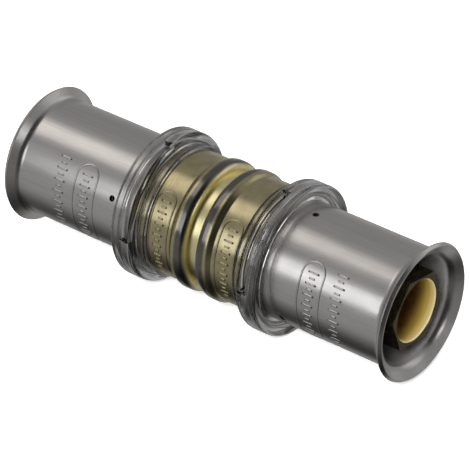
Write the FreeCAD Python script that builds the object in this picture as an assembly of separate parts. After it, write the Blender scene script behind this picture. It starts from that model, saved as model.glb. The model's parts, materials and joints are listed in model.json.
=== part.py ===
import FreeCAD, Part
import math
import os

# Straight press coupling for 20 mm multilayer pipe, lying along X.
# A turned brass body has a spigot at each end. Each pipe slides over a spigot
# and into a loose steel sleeve, which a tool later squeezes onto the pipe.
# The origin is the middle of the body. Millimetres.

# ---- pipe that the coupling joins
pipe_radius = 10.0
pipe_bore_radius = 7.75

# ---- brass body: centre groove, two rounded beads, barrel, clip groove
groove_floor_radius = 11.0
groove_half_width = 1.1
bead_radius = 12.70
bead_inner_rounding = 1.4
bead_outer_rounding = 1.2
bead_flat_to = 3.85
bead_foot_x = 4.75
bead_foot_rounding = 0.5
barrel_radius = 12.07
clip_groove_radius = 11.2
clip_groove_from = 11.3
clip_groove_to = 12.3
clip_edge_rounding = 0.15
body_face_x = 13.2
body_edge_rounding = 0.3

# ---- spigot, with its retaining ridges, two seal grooves and hexagonal nose
waterway_radius = 5.95
spigot_radius = pipe_bore_radius - 0.1
ridge_from = 17.6
ridge_pitch = 1.3
ridge_depth = 0.35
ridge_slope_length = 0.975
ridge_count = 4
seal_groove_starts = (24.0, 29.6)
seal_groove_width = 1.8
seal_groove_radius = 6.65
seal_groove_edge_rounding = 0.1
seal_groove_floor_rounding = 0.15
nose_from = 37.6
nose_to = 41.55
nose_chamfer = 0.25
nose_corner_angle = 19.5

# ---- rubber seals and plastic insulating washers
seal_thickness = 1.3
washer_from = body_face_x
washer_to = 15.0
washer_radius = pipe_radius - 0.05
washer_clearance = 0.05
washer_edge_rounding = 0.2

# ---- steel press sleeve: turned-out inner end, plain tube, flared mouth
sleeve_radius = 11.35
sleeve_wall = 1.0
collar_radius = 13.2
collar_from = 13.3
collar_bend = 0.5
flare_bend = 1.4
mouth_x = 43.05
mouth_radius = 13.33
mouth_angle = 55.0
sleeve_edge_rounding = 0.2
sight_hole_radius = 0.6
sight_hole_x = 19.2
sight_hole_count = 3
sight_hole_angle_right = 0.0
sight_hole_angle_left = 65.5

# ---- clear plastic guide ring: skirt, snap rib, pocket for the sleeve's collar, lip, recess
ring_radius = 14.56
ring_from = 11.8
ring_to = 16.37
ring_inner_rounding = 1.1
ring_outer_rounding = 0.5
skirt_from = 10.05
skirt_radius = 12.8
skirt_rounding = 0.35
skirt_root_rounding = 0.3
running_clearance = 0.05
snap_clearance = 0.08
snap_rib_rounding = 0.15
pocket_from = 13.1
pocket_to = 14.4
pocket_radius = 13.28
pocket_rounding = 0.1
lip_radius = sleeve_radius + 0.07
lip_slope_end = 15.0
recess_from = 15.3
recess_radius = 12.7
recess_floor_rounding = 0.4
recess_edge_rounding = 0.2
window_from = 12.45
window_to = 14.3
window_count = 2
window_width_angle = 88.0
window_angle = 47.0


def rounded_outline(corners):
    """Closed wire in the XY plane. Each corner is (x, radius from the axis, rounding)."""
    count = len(corners)
    cuts = []
    for i in range(count):
        corner = FreeCAD.Vector(corners[i][0], corners[i][1], 0)
        before = FreeCAD.Vector(corners[i - 1][0], corners[i - 1][1], 0)
        after = FreeCAD.Vector(corners[(i + 1) % count][0], corners[(i + 1) % count][1], 0)
        to_before = (before - corner).normalize()
        to_after = (after - corner).normalize()
        rounding = corners[i][2]
        half_angle = to_before.getAngle(to_after) / 2
        if rounding == 0:
            cuts.append((corner, None, corner))
            continue
        reach = rounding / math.tan(half_angle)
        centre_way = (to_before + to_after).normalize()
        centre = corner + centre_way * (rounding / math.sin(half_angle))
        middle = centre - centre_way * rounding
        cuts.append((corner + to_before * reach, middle, corner + to_after * reach))
    edges = []
    for i in range(count):
        start, middle, end = cuts[i]
        if middle is not None:
            edges.append(Part.Arc(start, middle, end).toShape())
        next_start = cuts[(i + 1) % count][0]
        if (next_start - end).Length > 1e-6:
            edges.append(Part.LineSegment(end, next_start).toShape())
    return Part.Wire(edges)


def turned(corners):
    """Solid made by turning an outline about the X axis."""
    face = Part.Face(rounded_outline(corners))
    return face.revolve(FreeCAD.Vector(0, 0, 0), FreeCAD.Vector(1, 0, 0), 360)


def tube(x_from, x_to, inner_radius, outer_radius):
    """Plain ring about the X axis."""
    return turned([(x_from, inner_radius, 0), (x_to, inner_radius, 0),
                   (x_to, outer_radius, 0), (x_from, outer_radius, 0)])


def mirrored(shape):
    """The same piece on the other side of the middle plane."""
    return shape.mirror(FreeCAD.Vector(0, 0, 0), FreeCAD.Vector(1, 0, 0))


def turned_by(shape, angle):
    """The same piece turned about X, from +Z towards -Y."""
    copy = shape.copy()
    copy.rotate(FreeCAD.Vector(0, 0, 0), FreeCAD.Vector(1, 0, 0), angle)
    return copy


def body_outer_corners():
    """Outside of the right half of the body, from the middle to the end of its spigot."""
    corners = [
        (groove_half_width, groove_floor_radius, 0),
        (groove_half_width, bead_radius, bead_inner_rounding),
        (bead_flat_to, bead_radius, bead_outer_rounding),
        (bead_foot_x, barrel_radius, bead_foot_rounding),
        (clip_groove_from, barrel_radius, 0),
        (clip_groove_from, clip_groove_radius, 0),
        (clip_groove_to, clip_groove_radius, 0),
        (clip_groove_to, barrel_radius, clip_edge_rounding),
        (body_face_x, barrel_radius, body_edge_rounding),
        (body_face_x, spigot_radius, 0),
    ]
    for i in range(ridge_count):
        x = ridge_from + i * ridge_pitch
        corners += [(x, spigot_radius, 0),
                    (x, spigot_radius - ridge_depth, 0),
                    (x + ridge_slope_length, spigot_radius, 0)]
    for x in seal_groove_starts:
        corners += [(x, spigot_radius, seal_groove_edge_rounding),
                    (x, seal_groove_radius, seal_groove_floor_rounding),
                    (x + seal_groove_width, seal_groove_radius, seal_groove_floor_rounding),
                    (x + seal_groove_width, spigot_radius, seal_groove_edge_rounding)]
    corners += [(nose_to - nose_chamfer, spigot_radius, 0),
                (nose_to, spigot_radius - nose_chamfer, 0),
                (nose_to, waterway_radius + nose_chamfer, 0),
                (nose_to - nose_chamfer, waterway_radius, 0)]
    return corners


def hexagonal_nose_waste():
    """What milling takes off to leave six flats at the end of a spigot."""
    corners = []
    for i in range(7):
        angle = math.radians(nose_corner_angle + 60 * i)
        corners.append(FreeCAD.Vector(nose_from, -spigot_radius * math.sin(angle),
                                      spigot_radius * math.cos(angle)))
    hexagon = Part.Face(Part.makePolygon(corners))
    length = FreeCAD.Vector(nose_to - nose_from + 1, 0, 0)
    blank = tube(nose_from, nose_to + 1, waterway_radius - 1, spigot_radius + 1)
    return blank.cut(hexagon.extrude(length))


def make_body():
    right = body_outer_corners()
    left = [(-x, radius, rounding) for x, radius, rounding in reversed(right)]
    body = turned(left + right)
    waste = hexagonal_nose_waste()
    return body.cut(waste).cut(mirrored(waste))


def make_seal(groove_start):
    centre_x = groove_start + seal_groove_width / 2
    centre_radius = seal_groove_radius + seal_thickness / 2
    return Part.makeTorus(centre_radius, seal_thickness / 2, FreeCAD.Vector(centre_x, 0, 0),
                          FreeCAD.Vector(1, 0, 0))


def make_washer():
    return turned([(washer_from, spigot_radius + washer_clearance, 0),
                   (washer_to, spigot_radius + washer_clearance, 0),
                   (washer_to, washer_radius, washer_edge_rounding),
                   (washer_from, washer_radius, 0)])


def make_sleeve(first_hole_angle):
    inner_radius = sleeve_radius - sleeve_wall
    slope = math.radians(mouth_angle)
    lip_x = mouth_x - sleeve_wall * math.sin(slope)
    lip_inner_radius = mouth_radius - sleeve_wall * math.cos(slope)
    outer_flare_x = lip_x - (mouth_radius - sleeve_radius) / math.tan(slope)
    inner_flare_x = mouth_x - (lip_inner_radius - inner_radius) / math.tan(slope)
    sleeve = turned([
        (collar_from, inner_radius, collar_bend + sleeve_wall),
        (inner_flare_x, inner_radius, flare_bend + sleeve_wall),
        (mouth_x, lip_inner_radius, sleeve_edge_rounding),
        (lip_x, mouth_radius, sleeve_edge_rounding),
        (outer_flare_x, sleeve_radius, flare_bend),
        (collar_from + sleeve_wall, sleeve_radius, collar_bend),
        (collar_from + sleeve_wall, collar_radius, sleeve_edge_rounding),
        (collar_from, collar_radius, sleeve_edge_rounding),
    ])
    for i in range(sight_hole_count):
        drill = Part.makeCylinder(sight_hole_radius, 3 * sleeve_wall,
                                  FreeCAD.Vector(sight_hole_x, 0, inner_radius - sleeve_wall))
        sleeve = sleeve.cut(turned_by(drill, first_hole_angle + 360 / sight_hole_count * i))
    return sleeve


def make_ring():
    bore_radius = barrel_radius + running_clearance
    rib_radius = clip_groove_radius + snap_clearance
    ring = turned([
        (skirt_from, bore_radius, 0),
        (clip_groove_from + snap_clearance, bore_radius, 0),
        (clip_groove_from + snap_clearance, rib_radius, snap_rib_rounding),
        (clip_groove_to - snap_clearance, rib_radius, snap_rib_rounding),
        (clip_groove_to - snap_clearance, bore_radius, 0),
        (pocket_from, bore_radius, 0),
        (pocket_from, pocket_radius, pocket_rounding),
        (pocket_to, pocket_radius, pocket_rounding),
        (pocket_to, lip_radius + lip_slope_end - pocket_to, 0),
        (lip_slope_end, lip_radius, 0),
        (recess_from, lip_radius, pocket_rounding),
        (recess_from, recess_radius, recess_floor_rounding),
        (ring_to, recess_radius, recess_edge_rounding),
        (ring_to, ring_radius, ring_outer_rounding),
        (ring_from, ring_radius, ring_inner_rounding),
        (ring_from, skirt_radius, skirt_root_rounding),
        (skirt_from, skirt_radius, skirt_rounding),
    ])
    window = tube(window_from, window_to, bore_radius, ring_radius + 1)
    for i in range(window_count):
        ring = ring.cut(window_sector(window, window_angle + 360 / window_count * i))
    return ring


def window_sector(window, angle):
    """The part of a tube that lies within half a window's width of an angle."""
    half_width = math.radians(window_width_angle / 2)
    reach = 2 * ring_radius
    side = reach * math.tan(half_width)
    wedge = Part.makePolygon([FreeCAD.Vector(0, 0, 0), FreeCAD.Vector(0, -side, reach),
                              FreeCAD.Vector(0, side, reach), FreeCAD.Vector(0, 0, 0)])
    wedge = Part.Face(wedge).extrude(FreeCAD.Vector(2 * ring_to, 0, 0))
    return window.common(turned_by(wedge, angle))


def write(name, shape):
    shape.exportStep(os.path.join("parts", name + ".step"))


def main():
    os.makedirs("parts", exist_ok=True)
    write("brass_body", make_body())
    ring = make_ring()
    washer = make_washer()
    for side, place in (("right", lambda shape: shape), ("left", mirrored)):
        write("guide_ring_" + side, place(ring))
        write("insulating_washer_" + side, place(washer))
        for number, groove_start in enumerate(seal_groove_starts, start=1):
            write("seal_" + side + "_" + str(number), place(make_seal(groove_start)))
    write("press_sleeve_right", make_sleeve(sight_hole_angle_right))
    write("press_sleeve_left", mirrored(make_sleeve(sight_hole_angle_left)))


main()
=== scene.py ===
import json
import math

import bmesh
import bpy
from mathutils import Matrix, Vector


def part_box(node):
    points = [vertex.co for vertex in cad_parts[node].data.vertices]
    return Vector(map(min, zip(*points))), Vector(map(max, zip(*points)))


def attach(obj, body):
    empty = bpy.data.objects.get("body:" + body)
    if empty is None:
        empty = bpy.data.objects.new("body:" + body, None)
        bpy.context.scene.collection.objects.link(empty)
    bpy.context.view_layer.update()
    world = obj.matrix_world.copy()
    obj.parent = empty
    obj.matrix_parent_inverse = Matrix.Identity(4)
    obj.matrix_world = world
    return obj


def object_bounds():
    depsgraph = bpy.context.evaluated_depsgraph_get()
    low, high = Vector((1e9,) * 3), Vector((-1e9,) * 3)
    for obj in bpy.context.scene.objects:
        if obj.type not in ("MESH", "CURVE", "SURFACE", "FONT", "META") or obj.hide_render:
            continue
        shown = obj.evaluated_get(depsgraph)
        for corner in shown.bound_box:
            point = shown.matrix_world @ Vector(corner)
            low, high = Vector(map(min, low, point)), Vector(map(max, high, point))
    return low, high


# Looks of a straight press coupling: finishes and raised marks on the CAD pieces, a studio and a camera.

MM = 0.001

# The camera looks at the middle of the part, and is then moved a little to its own right and down.
VIEW_AZIMUTH = math.radians(37.26)
VIEW_ELEVATION = math.radians(34.60)
VIEW_DISTANCE = 0.6532
VIEW_LENS = 274.42
VIEW_SENSOR = 36.0
VIEW_RIGHT = 0.000904
VIEW_UP = -0.000861
VIEW_NEAREST = 0.01
VIEW_FARTHEST = 20.0

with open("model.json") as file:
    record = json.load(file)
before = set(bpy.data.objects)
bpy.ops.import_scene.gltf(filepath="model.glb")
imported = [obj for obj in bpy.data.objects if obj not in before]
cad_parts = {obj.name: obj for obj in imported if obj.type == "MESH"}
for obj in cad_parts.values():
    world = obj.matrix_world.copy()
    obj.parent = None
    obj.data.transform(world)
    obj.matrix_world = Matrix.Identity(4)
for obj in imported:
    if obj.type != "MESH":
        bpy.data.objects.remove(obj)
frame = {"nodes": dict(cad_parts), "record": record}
cad_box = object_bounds()
nodes = frame["nodes"]


# ---------------------------------------------------------------- sizes taken from the frame

# Stretches of X, in millimetres from the middle, that hold part of a plain cylinder and nothing wider.
SLEEVE_TUBE = (18.0, 21.0)
BARREL = (5.0, 11.4)


def on_side(sign, stretch):
    """A stretch of X on the right for sign 1, and its mirror image on the left for sign -1."""
    return sorted(sign * place for place in stretch)


def outer_radius(node, x_low, x_high):
    """Largest distance from the axis of a CAD node between two places along X, in millimetres."""
    return max(math.hypot(v.co.y, v.co.z) / MM for v in nodes[node].data.vertices
               if x_low <= v.co.x / MM <= x_high)


def mount_radius(name):
    """Radius of one of the record's mounts, in millimetres."""
    return next(mount["dims"]["r_mm"] for mount in frame["record"]["mounts"] if mount["name"] == name)


sleeve_radius = outer_radius("press_sleeve_right", *on_side(1, SLEEVE_TUBE))
bead_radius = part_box("brass_body")[1].z / MM
nose_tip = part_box("brass_body")[1].x / MM
spigot_radius = mount_radius("spigot_right")
bore_radius = mount_radius("waterway")


# ---------------------------------------------------------------- shader nodes

# Where a noise texture starts and stops going from one shade to the other.
NOISE_SPREAD = (0.3, 0.7)


def new_material(name):
    """An empty Principled material: (material, its nodes, its links, its shader)."""
    material = bpy.data.materials.new(name)
    material.use_nodes = True
    tree = material.node_tree
    return material, tree.nodes, tree.links, tree.nodes["Principled BSDF"]


def object_coordinates(tree_nodes, links, scale):
    """The object's own coordinates in metres, times a scale on each axis."""
    place = tree_nodes.new("ShaderNodeTexCoord")
    mapping = tree_nodes.new("ShaderNodeMapping")
    mapping.inputs["Scale"].default_value = scale
    links.new(place.outputs["Object"], mapping.inputs["Vector"])
    return mapping.outputs["Vector"]


def noise(tree_nodes, links, scale, detail=3.0, roughness=0.5):
    """A noise texture whose scale on each axis is in cells per metre."""
    texture = tree_nodes.new("ShaderNodeTexNoise")
    texture.inputs["Scale"].default_value = 1.0
    texture.inputs["Detail"].default_value = detail
    texture.inputs["Roughness"].default_value = roughness
    links.new(object_coordinates(tree_nodes, links, scale), texture.inputs["Vector"])
    return texture.outputs["Fac"]


def ramp(tree_nodes, links, factor, stops):
    """A colour ramp from (position, colour) stops."""
    made = tree_nodes.new("ShaderNodeValToRGB")
    elements = made.color_ramp.elements
    while len(elements) < len(stops):
        elements.new(0.5)
    for element, (position, colour) in zip(elements, stops):
        element.position = position
        element.color = colour
    links.new(factor, made.inputs["Fac"])
    return made.outputs["Color"]


def grey(value):
    return (value, value, value, 1)


def shades(tree_nodes, links, factor, colours, spread=NOISE_SPREAD):
    """Goes from the first of two colours to the second as a noise texture crosses its spread."""
    return ramp(tree_nodes, links, factor, [(at, (*colour, 1)) for at, colour in zip(spread, colours)])


def levels(tree_nodes, links, factor, values):
    """As shades, for two plain numbers, such as roughnesses."""
    return ramp(tree_nodes, links, factor, [(at, grey(value)) for at, value in zip(NOISE_SPREAD, values)])


def bump(tree_nodes, links, shader, height, strength, distance):
    made = tree_nodes.new("ShaderNodeBump")
    made.inputs["Strength"].default_value = strength
    made.inputs["Distance"].default_value = distance
    links.new(height, made.inputs["Height"])
    links.new(made.outputs["Normal"], shader.inputs["Normal"])


def map_range(tree_nodes, links, value, low, high, to_low=0.0, to_high=1.0, smooth=True):
    """value, taken from low..high to to_low..to_high and held there beyond."""
    made = tree_nodes.new("ShaderNodeMapRange")
    made.interpolation_type = "SMOOTHSTEP" if smooth else "LINEAR"
    made.inputs["From Min"].default_value = low
    made.inputs["From Max"].default_value = high
    made.inputs["To Min"].default_value = to_low
    made.inputs["To Max"].default_value = to_high
    links.new(value, made.inputs["Value"])
    return made.outputs["Result"]


def mix_colour(tree_nodes, links, factor, first, second):
    made = tree_nodes.new("ShaderNodeMix")
    made.data_type = "RGBA"
    links.new(factor, made.inputs["Factor"])
    links.new(first, made.inputs["A"])
    links.new(second, made.inputs["B"])
    return made.outputs["Result"]


def axis_distance(tree_nodes, links, scale):
    """Length of the object coordinates, each first multiplied by scale, in millimetres."""
    made = tree_nodes.new("ShaderNodeVectorMath")
    made.operation = "LENGTH"
    per_millimetre = [part / MM for part in scale]
    links.new(object_coordinates(tree_nodes, links, per_millimetre), made.inputs[0])
    return made.outputs["Value"]


def from_middle(tree_nodes, links):
    """Distance from the middle of the part along its axis, either way, in millimetres."""
    return axis_distance(tree_nodes, links, (1, 0, 0))


def from_axis(tree_nodes, links):
    """Distance from the pipe axis, in millimetres."""
    return axis_distance(tree_nodes, links, (0, 1, 1))


# ---------------------------------------------------------------- steel

STEEL_STREAKS = (90, 2600, 2600)
STEEL_STREAK_SPREAD = (0.25, 0.75)
STEEL_COLOURS = ((0.55, 0.535, 0.52), (0.66, 0.64, 0.62))
STEEL_CLOUDS = (220, 320, 320)
STEEL_ROUGHNESSES = (0.27, 0.31)
# The sleeve's inside is duller than its outside, and this much of it shines as metal.
INSIDE_METALLIC = 0.76
INSIDE_TO_OUTSIDE = (sleeve_radius - 0.99, sleeve_radius - 0.75)


def make_steel():
    """Drawn stainless tube: faint lines along the tube and slight unevenness in its shine."""
    material, tree_nodes, links, shader = new_material("satin_steel")
    radius = from_axis(tree_nodes, links)
    metallic = map_range(tree_nodes, links, radius, *INSIDE_TO_OUTSIDE, INSIDE_METALLIC, 1.0)
    links.new(metallic, shader.inputs["Metallic"])
    streaks = noise(tree_nodes, links, STEEL_STREAKS, detail=4.0, roughness=0.6)
    tone = shades(tree_nodes, links, streaks, STEEL_COLOURS, STEEL_STREAK_SPREAD)
    links.new(tone, shader.inputs["Base Color"])
    clouds = noise(tree_nodes, links, STEEL_CLOUDS, detail=3.0, roughness=0.55)
    links.new(levels(tree_nodes, links, clouds, STEEL_ROUGHNESSES), shader.inputs["Roughness"])
    bump(tree_nodes, links, shader, streaks, strength=0.06, distance=0.02 * MM)
    return material


# ---------------------------------------------------------------- brass

BRASS_TOOL_RINGS = (5200, 60, 60)
BRASS_MOTTLE = (420, 420, 420)

# Radii, in millimetres, over which one skin gives way to the next one out.
BORE_TO_SPIGOT = (bore_radius + 0.05, bore_radius + 0.15)
# Over these radii the spigot's painted shade gives way to the barrel's brass.
SPIGOT_SHADE_TO_BARREL = (spigot_radius + 0.15, spigot_radius + 0.55)
GROOVE_TO_CREST = (bead_radius - 0.55, bead_radius - 0.10)
# Distances from the middle, in millimetres, over which one skin gives way to the next one along.
BEADS_TO_BARREL = (3.0, 3.6)
# Painted light and shade in the bore: where the painted brown shade deep inside gives way to half-lit gold,
# and that to the pale painted light at each mouth.
BORE_SHADE_TO_HALF_LIT = (nose_tip - 4.55, nose_tip - 0.95)
BORE_HALF_LIT_TO_MOUTH_LIGHT = (nose_tip - 1.65, nose_tip - 0.05)

GROOVE_COLOURS = ((0.90, 0.79, 0.42), (1.0, 0.92, 0.55))
CREST_COLOURS = ((0.14, 0.135, 0.125), (0.21, 0.20, 0.185))
BARREL_COLOURS = ((0.42, 0.365, 0.215), (0.56, 0.50, 0.30))
# Painted shade: the spigot skin, whose tip face sits inside the sleeve's mouth, is painted near-black brass
# in place of the dark reflection it shows.
SPIGOT_SHADE_COLOURS = ((0.10, 0.08, 0.045), (0.17, 0.14, 0.075))
# The bore's colours are painted light and shade: brown shade deep inside, half-lit gold, and pale painted
# light at the mouth.
BORE_SHADE_COLOURS = ((0.13, 0.058, 0.012), (0.21, 0.105, 0.028))
BORE_HALF_LIT_COLOURS = ((0.50, 0.34, 0.06), (0.68, 0.50, 0.13))
BORE_MOUTH_LIGHT_COLOURS = ((0.86, 0.70, 0.30), (0.98, 0.88, 0.50))

GROOVE_ROUGHNESSES = (0.27, 0.34)
CREST_ROUGHNESSES = (0.15, 0.20)
BARREL_ROUGHNESSES = (0.22, 0.29)
BORE_ROUGHNESSES = (0.34, 0.46)
BORE_METALLIC = 0.55


def make_brass():
    """Turned brass: golden groove, dark bead crests, dulled barrels, spigots painted near-black as shade,
    and a bore with painted shade deep inside and painted light at each mouth.
    """
    material, tree_nodes, links, shader = new_material("turned_brass")
    rings = noise(tree_nodes, links, BRASS_TOOL_RINGS, detail=3.0, roughness=0.6)
    mottle = noise(tree_nodes, links, BRASS_MOTTLE, detail=4.0, roughness=0.6)
    along = from_middle(tree_nodes, links)
    radius = from_axis(tree_nodes, links)
    on_crest = map_range(tree_nodes, links, radius, *GROOVE_TO_CREST)
    past_beads = map_range(tree_nodes, links, along, *BEADS_TO_BARREL)
    off_spigot_shade = map_range(tree_nodes, links, radius, *SPIGOT_SHADE_TO_BARREL)
    outside_bore = map_range(tree_nodes, links, radius, *BORE_TO_SPIGOT)

    groove = shades(tree_nodes, links, mottle, GROOVE_COLOURS)
    crest = shades(tree_nodes, links, mottle, CREST_COLOURS)
    barrel = shades(tree_nodes, links, mottle, BARREL_COLOURS)
    spigot_shade = shades(tree_nodes, links, mottle, SPIGOT_SHADE_COLOURS)
    skin = mix_colour(tree_nodes, links, on_crest, groove, crest)
    skin = mix_colour(tree_nodes, links, past_beads, skin, barrel)
    # Painted shade: the spigot skin is painted near-black.
    skin = mix_colour(tree_nodes, links, off_spigot_shade, spigot_shade, skin)
    # The bore's wall carries painted light and shade along its depth.
    painted_bore_wall = bore_light_and_shade(tree_nodes, links, along, mottle, rings)
    links.new(mix_colour(tree_nodes, links, outside_bore, painted_bore_wall, skin), shader.inputs["Base Color"])
    metallic = map_range(tree_nodes, links, radius, *BORE_TO_SPIGOT, BORE_METALLIC, 1.0)
    links.new(metallic, shader.inputs["Metallic"])

    shine = mix_colour(tree_nodes, links, on_crest,
                       levels(tree_nodes, links, rings, GROOVE_ROUGHNESSES),
                       levels(tree_nodes, links, rings, CREST_ROUGHNESSES))
    shine = mix_colour(tree_nodes, links, past_beads, shine,
                       levels(tree_nodes, links, rings, BARREL_ROUGHNESSES))
    matt = levels(tree_nodes, links, rings, BORE_ROUGHNESSES)
    links.new(mix_colour(tree_nodes, links, outside_bore, matt, shine), shader.inputs["Roughness"])
    bump(tree_nodes, links, shader, rings, strength=0.10, distance=0.02 * MM)
    return material


def bore_light_and_shade(tree_nodes, links, along, mottle, rings):
    """The waterway's wall, with light and shade painted along it: painted shade in brown deep inside,
    half-lit gold further out, and painted light in pale gold at each mouth.
    """
    bore_shade = shades(tree_nodes, links, mottle, BORE_SHADE_COLOURS)
    half_lit = shades(tree_nodes, links, rings, BORE_HALF_LIT_COLOURS)
    mouth_light = shades(tree_nodes, links, rings, BORE_MOUTH_LIGHT_COLOURS)
    out_of_bore_shade = map_range(tree_nodes, links, along, *BORE_SHADE_TO_HALF_LIT)
    in_mouth_light = map_range(tree_nodes, links, along, *BORE_HALF_LIT_TO_MOUTH_LIGHT)
    shaded_wall = mix_colour(tree_nodes, links, out_of_bore_shade, bore_shade, half_lit)
    return mix_colour(tree_nodes, links, in_mouth_light, shaded_wall, mouth_light)


# ---------------------------------------------------------------- plastics and rubber

PLASTIC_CLOUDS = (260, 260, 260)
PLASTIC_COLOURS = ((0.82, 0.815, 0.805), (0.92, 0.915, 0.905))
PLASTIC_ROUGHNESSES = (0.05, 0.10)
PLASTIC_IOR = 1.5

RUBBER_GRAIN = (2500, 2500, 2500)
RUBBER_GREYS = (0.012, 0.03)
RUBBER_ROUGHNESSES = (0.42, 0.58)

WASHER_GRAIN = (900, 900, 900)
WASHER_COLOURS = ((0.70, 0.70, 0.67), (0.78, 0.78, 0.75))
WASHER_ROUGHNESSES = (0.35, 0.48)


def make_clear_plastic():
    """Clear moulded plastic, slightly smoky, with faint flow marks."""
    material, tree_nodes, links, shader = new_material("clear_plastic")
    shader.inputs["Transmission Weight"].default_value = 1.0
    shader.inputs["IOR"].default_value = PLASTIC_IOR
    clouds = noise(tree_nodes, links, PLASTIC_CLOUDS, detail=2.0, roughness=0.5)
    links.new(shades(tree_nodes, links, clouds, PLASTIC_COLOURS), shader.inputs["Base Color"])
    links.new(levels(tree_nodes, links, clouds, PLASTIC_ROUGHNESSES), shader.inputs["Roughness"])
    bump(tree_nodes, links, shader, clouds, strength=0.03, distance=0.1 * MM)
    return material


def make_rubber():
    material, tree_nodes, links, shader = new_material("black_rubber")
    grain = noise(tree_nodes, links, RUBBER_GRAIN, detail=3.0, roughness=0.6)
    links.new(levels(tree_nodes, links, grain, RUBBER_GREYS), shader.inputs["Base Color"])
    links.new(levels(tree_nodes, links, grain, RUBBER_ROUGHNESSES), shader.inputs["Roughness"])
    bump(tree_nodes, links, shader, grain, strength=0.2, distance=0.03 * MM)
    return material


def make_washer_plastic():
    material, tree_nodes, links, shader = new_material("washer_plastic")
    grain = noise(tree_nodes, links, WASHER_GRAIN, detail=3.0, roughness=0.6)
    links.new(shades(tree_nodes, links, grain, WASHER_COLOURS), shader.inputs["Base Color"])
    links.new(levels(tree_nodes, links, grain, WASHER_ROUGHNESSES), shader.inputs["Roughness"])
    bump(tree_nodes, links, shader, grain, strength=0.1, distance=0.03 * MM)
    return material


# ---------------------------------------------------------------- finishes of the CAD nodes

steel = make_steel()
brass = make_brass()

FINISHES = {
    "press_sleeve": steel,
    "brass_body": brass,
    "guide_ring": make_clear_plastic(),
    "seal": make_rubber(),
    "insulating_washer": make_washer_plastic(),
}


def finish_for(name):
    return next(FINISHES[start] for start in FINISHES if name.startswith(start))


for name, node in nodes.items():
    for material_slot in node.material_slots:
        material_slot.material = finish_for(name)

# ---------------------------------------------------------------- raised marks

# A ridge's cross-section: how far across, in half widths, and how far up, in heights.
MARK_PROFILE = [(-1.0, -0.3), (-0.85, 0.35), (-0.4, 0.9), (0.0, 1.0), (0.4, 0.9), (0.85, 0.35), (1.0, -0.3)]
MARK_HALF_WIDTH = 0.20
BARS_PER_ROW = 14
# Parts of the bar length by which every other bar is shortened at each end.
SHORT_BAR_INSET = 0.25
# Room left inside a frame, as parts of its width.
FRAME_SIDE_ROOM = 0.25
FRAME_END_ROOM = 0.34
FRAME_END_STEPS = 14
FRAME_SIDE_STEPS = 24
BAR_STEPS = 5

# Where marks lie: stretches of X and lengths of arc in millimetres, and starts in degrees from the top.
SLEEVE_FRAME = (23.3, 28.0)
SLEEVE_FRAME_ARC = 17.8
SLEEVE_BARS = (30.2, 32.6)
SLEEVE_BARS_ARC = 15.6
SLEEVE_MARK_HEIGHT = 0.08
SLEEVE_MARK_STARTS = (44.0, 224.0)
BARREL_FRAME = (5.5, 9.6)
BARREL_FRAME_ARC = 17.9
BARREL_MARK_HEIGHT = 0.11
BARREL_MARK_STARTS = (39.0, 219.0)


def on_cylinder(x, arc, radius, height):
    """A point above a cylinder: arc is the way round it from straight up towards -Y. All in millimetres."""
    angle = arc / radius
    reach = (radius + height) * MM
    return (x * MM, -reach * math.sin(angle), reach * math.cos(angle))


def raised_line(mesh, path, closed, radius, height):
    """Adds a rounded ridge along a path of (x, arc) points on a cylinder."""
    sections = []
    count = len(path)
    for i, (x, arc) in enumerate(path):
        before = path[i - 1] if closed or i > 0 else path[i]
        after = path[(i + 1) % count] if closed or i < count - 1 else path[i]
        step = Vector((after[0] - before[0], after[1] - before[1])).normalized()
        sections.append([mesh.verts.new(on_cylinder(x - step.y * side * MARK_HALF_WIDTH,
                                                    arc + step.x * side * MARK_HALF_WIDTH,
                                                    radius, up * height))
                         for side, up in MARK_PROFILE])
    pairs = list(zip(sections, sections[1:] + sections[:1]))
    for first, second in pairs if closed else pairs[:-1]:
        for j in range(len(MARK_PROFILE)):
            k = (j + 1) % len(MARK_PROFILE)
            mesh.faces.new((first[j], first[k], second[k], second[j]))
    if not closed:
        mesh.faces.new(sections[0])
        mesh.faces.new(reversed(sections[-1]))


def straight(first, second, steps):
    """Evenly spaced points from first to second, both included."""
    return [(first[0] + (second[0] - first[0]) * i / steps, first[1] + (second[1] - first[1]) * i / steps)
            for i in range(steps + 1)]


def round_end(x_middle, arc_middle, reach, turn):
    """Half a circle of points, starting at the angle turn."""
    angles = [turn + math.pi * i / FRAME_END_STEPS for i in range(FRAME_END_STEPS + 1)]
    return [(x_middle + reach * math.cos(angle), arc_middle + reach * math.sin(angle)) for angle in angles]


def stadium(x_from, x_to, arc_from, arc_to):
    """A closed path: two straight sides joined by half circles at its arc ends."""
    reach = (x_to - x_from) / 2
    x_middle = (x_from + x_to) / 2
    far_end = round_end(x_middle, arc_to - reach, reach, 0)
    near_end = round_end(x_middle, arc_from + reach, reach, math.pi)
    path = []
    for end, next_end in ((far_end, near_end), (near_end, far_end)):
        path += end + straight(end[-1], next_end[0], FRAME_SIDE_STEPS)[1:-1]
    return path


def bar_row(mesh, radius, x_from, x_to, arc_from, arc_to, height):
    """A row of evenly spaced plain bars along X, long and short in turn."""
    for i in range(BARS_PER_ROW):
        arc = arc_from + (arc_to - arc_from) * (i + 0.5) / BARS_PER_ROW
        inset = (x_to - x_from) * (0.0 if i % 2 == 0 else SHORT_BAR_INSET)
        bar = straight((x_from + inset, arc), (x_to - inset, arc), BAR_STEPS)
        raised_line(mesh, bar, False, radius, height)


def framed_bars(mesh, radius, x_from, x_to, arc_from, arc_to, height):
    """A rounded frame with a row of bars inside it."""
    raised_line(mesh, stadium(x_from, x_to, arc_from, arc_to), True, radius, height)
    side_room = (x_to - x_from) * FRAME_SIDE_ROOM
    end_room = (x_to - x_from) * FRAME_END_ROOM
    bar_row(mesh, radius, x_from + side_room, x_to - side_room,
            arc_from + end_room, arc_to - end_room, height)


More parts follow.
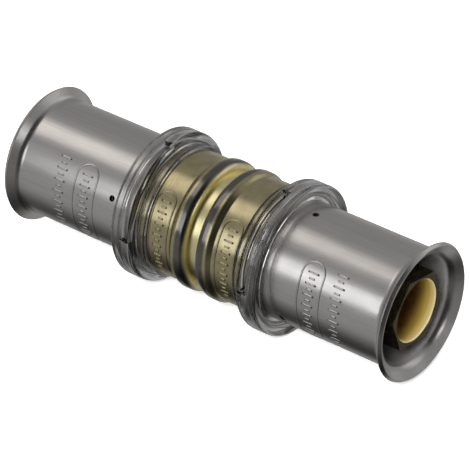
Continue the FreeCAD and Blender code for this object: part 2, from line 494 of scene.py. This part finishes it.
def finish_marks(name, mesh, body, material):
    """Turns the marks into a piece that rides on a body."""
    bmesh.ops.recalc_face_normals(mesh, faces=mesh.faces)
    data = bpy.data.meshes.new(name)
    mesh.to_mesh(data)
    mesh.free()
    data.shade_smooth()
    data.materials.append(material)
    piece = bpy.data.objects.new(name, data)
    bpy.context.scene.collection.objects.link(piece)
    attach(piece, body)


def add_sleeve_marks(side, sign):
    """On each of two opposite sides of a sleeve, a framed row of bars and a bare one next to it."""
    radius = outer_radius("press_sleeve_" + side, *on_side(sign, SLEEVE_TUBE))
    mesh = bmesh.new()
    for start in SLEEVE_MARK_STARTS:
        arc = math.radians(start) * radius
        framed_bars(mesh, radius, *on_side(sign, SLEEVE_FRAME),
                    arc, arc + SLEEVE_FRAME_ARC, SLEEVE_MARK_HEIGHT)
        bar_row(mesh, radius, *on_side(sign, SLEEVE_BARS),
                arc, arc + SLEEVE_BARS_ARC, SLEEVE_MARK_HEIGHT)
    finish_marks("sleeve_marks_" + side, mesh, "sleeve_" + side, steel)


def add_barrel_marks(side, sign):
    """On each of two opposite sides of a barrel, a framed row of bars."""
    radius = outer_radius("brass_body", *on_side(sign, BARREL))
    mesh = bmesh.new()
    for start in BARREL_MARK_STARTS:
        arc = math.radians(start) * radius
        framed_bars(mesh, radius, *on_side(sign, BARREL_FRAME),
                    arc, arc + BARREL_FRAME_ARC, BARREL_MARK_HEIGHT)
    finish_marks("barrel_marks_" + side, mesh, "body", brass)


for side, sign in (("right", 1), ("left", -1)):
    add_sleeve_marks(side, sign)
    add_barrel_marks(side, sign)

# ---------------------------------------------------------------- floor and lights

FLOOR_HALF_WIDTH = 3.0
FLOOR_LEVEL = 0.9
FLOOR_ROUGHNESS = 0.9
FLOOR_GLOW = 0.42

WHITE = (1.0, 1.0, 1.0)
WARM_WHITE = (1.0, 0.95, 0.90)
COOL_WHITE = (0.96, 0.97, 1.0)


def make_floor(height):
    """Pale floor with a faint glow of its own. The metal and the clear plastic don't reflect or show it."""
    material, _, _, shader = new_material("pale_floor")
    shader.inputs["Base Color"].default_value = grey(FLOOR_LEVEL)
    shader.inputs["Roughness"].default_value = FLOOR_ROUGHNESS
    shader.inputs["Specular IOR Level"].default_value = 0.0
    shader.inputs["Emission Color"].default_value = (*WHITE, 1)
    shader.inputs["Emission Strength"].default_value = FLOOR_GLOW
    mesh = bpy.data.meshes.new("floor")
    half = FLOOR_HALF_WIDTH
    corners = [(-half, -half, height), (half, -half, height), (half, half, height), (-half, half, height)]
    mesh.from_pydata(corners, [], [(0, 1, 2, 3)])
    mesh.materials.append(material)
    floor = bpy.data.objects.new("floor", mesh)
    bpy.context.scene.collection.objects.link(floor)
    floor.visible_glossy = False
    floor.visible_transmission = False


def area_light(name, toward, distance, size, power, colour=WHITE, target_x=0.0, shows=True):
    """A softbox that faces a place on the axis. It may light without showing in metal or clear plastic."""
    data = bpy.data.lights.new(name, "AREA")
    data.shape = "RECTANGLE"
    data.size, data.size_y = size
    data.energy = power
    data.color = colour
    light = bpy.data.objects.new(name, data)
    direction = Vector(toward).normalized()
    light.location = Vector((target_x, 0, 0)) + direction * distance
    light.rotation_mode = "QUATERNION"
    light.rotation_quaternion = (-direction).to_track_quat("-Z", "Y")
    light.visible_camera = False
    light.visible_glossy = shows
    light.visible_transmission = shows
    bpy.context.scene.collection.objects.link(light)


def add_lights():
    area_light("overhead", toward=(-0.498, -0.13, 0.857), distance=0.5, size=(0.23, 0.26), power=0.19,
               colour=WARM_WHITE, target_x=-0.058)
    area_light("front_left", toward=(-0.498, -0.81, 0.31), distance=0.3, size=(0.14, 0.13), power=0.080,
               colour=COOL_WHITE, target_x=0.060)
    area_light("side", toward=(0.93, -0.15, 0.33), distance=0.5, size=(0.10, 0.16), power=0.10)
    area_light("back", toward=(0.40, 0.80, 0.45), distance=0.6, size=(0.60, 0.30), power=0.22)
    area_light("fill", toward=(0.1, 0.1, 1), distance=2.0, size=(2.5, 2.5), power=40, shows=False)
    area_light("key", toward=(0.30, -0.70, 0.62), distance=1.2, size=(0.3, 0.3), power=17, shows=False)


# ---------------------------------------------------------------- the room that the metal reflects

# Grey levels against height, from -1 straight down to 1 straight up.
ROOM_FRONT = [(-0.87, 0.03), (-0.78, 0.12), (-0.6, 0.36), (-0.2, 0.37),
              (0.0, 0.30), (0.5, 0.36), (0.75, 0.33), (1.0, 0.24)]
ROOM_BACK = [(-1.0, 0.42), (-0.75, 0.30), (-0.55, 0.24), (-0.25, 0.46),
             (0.05, 0.30), (0.6, 0.30), (0.8, 0.34), (1.0, 0.24)]
# The front gives way to the back over this stretch of the direction's Y.
FRONT_TO_BACK = (0.02, 0.34)
# Across the direction's X, the front darkens to a part of its level, and then gains as much again.
FRONT_DARKENS = (-0.1, 0.2)
FRONT_RECOVERS = (0.7, 0.95)
FRONT_DARKEST = 0.35
# A dark flag hangs behind the camera. Its edge is soft between these cosines of the angle from its middle.
FLAG_DIRECTION = (0.498, -0.655, 0.568)
FLAG_EDGE = (0.55, 0.80)
FLAG_LEVEL = 0.32


def room_wall(tree_nodes, links, height, heights_and_levels):
    """Grey levels up a wall."""
    return ramp(tree_nodes, links, height, [((z + 1) / 2, grey(level)) for z, level in heights_and_levels])


def front_level(tree_nodes, links, x):
    """How light the front is across its width, as a part of its level."""
    made = tree_nodes.new("ShaderNodeMath")
    made.operation = "ADD"
    links.new(map_range(tree_nodes, links, x, *FRONT_DARKENS, 1.0, FRONT_DARKEST), made.inputs[0])
    links.new(map_range(tree_nodes, links, x, *FRONT_RECOVERS, 0.0, FRONT_DARKEST), made.inputs[1])
    return made.outputs["Value"]


def scaled(tree_nodes, links, vector, scale):
    made = tree_nodes.new("ShaderNodeVectorMath")
    made.operation = "SCALE"
    links.new(vector, made.inputs[0])
    links.new(scale, made.inputs["Scale"])
    return made.outputs["Vector"]


def flag_level(tree_nodes, links, direction):
    """1 away from the flag, and the flag's own level on it."""
    made = tree_nodes.new("ShaderNodeVectorMath")
    made.operation = "DOT_PRODUCT"
    made.inputs[1].default_value = FLAG_DIRECTION
    links.new(direction, made.inputs[0])
    return map_range(tree_nodes, links, made.outputs["Value"], *FLAG_EDGE, 1.0, FLAG_LEVEL)


def make_world():
    """Grey room whose front and back change with height, with a dark right-hand front and a dark flag."""
    world = bpy.data.worlds.new("studio")
    world.use_nodes = True
    tree_nodes, links = world.node_tree.nodes, world.node_tree.links
    direction = tree_nodes.new("ShaderNodeTexCoord").outputs["Generated"]
    split = tree_nodes.new("ShaderNodeSeparateXYZ")
    links.new(direction, split.inputs["Vector"])
    height = map_range(tree_nodes, links, split.outputs["Z"], -1.0, 1.0, smooth=False)
    front = room_wall(tree_nodes, links, height, ROOM_FRONT)
    front = scaled(tree_nodes, links, front, front_level(tree_nodes, links, split.outputs["X"]))
    back = room_wall(tree_nodes, links, height, ROOM_BACK)
    behind = map_range(tree_nodes, links, split.outputs["Y"], *FRONT_TO_BACK)
    background = tree_nodes["Background"]
    links.new(mix_colour(tree_nodes, links, behind, front, back), background.inputs["Color"])
    links.new(flag_level(tree_nodes, links, direction), background.inputs["Strength"])
    bpy.context.scene.world = world


make_floor(cad_box[0].z)
make_world()
add_lights()

# ---------------------------------------------------------------- camera


def make_camera():
    toward = Vector((math.sin(VIEW_AZIMUTH) * math.cos(VIEW_ELEVATION),
                     -math.cos(VIEW_AZIMUTH) * math.cos(VIEW_ELEVATION),
                     math.sin(VIEW_ELEVATION)))
    right = Vector((math.cos(VIEW_AZIMUTH), math.sin(VIEW_AZIMUTH), 0))
    up = toward.cross(right)
    data = bpy.data.cameras.new("camera")
    data.lens = VIEW_LENS
    data.sensor_width = VIEW_SENSOR
    data.clip_start = VIEW_NEAREST
    data.clip_end = VIEW_FARTHEST
    camera = bpy.data.objects.new("camera", data)
    centre = (cad_box[0] + cad_box[1]) / 2
    camera.location = centre + right * VIEW_RIGHT + up * VIEW_UP + toward * VIEW_DISTANCE
    camera.rotation_mode = "QUATERNION"
    camera.rotation_quaternion = (-toward).to_track_quat("-Z", "Y")
    bpy.context.scene.collection.objects.link(camera)
    bpy.context.scene.camera = camera


make_camera()
bpy.context.scene.view_settings.view_transform = "Standard"
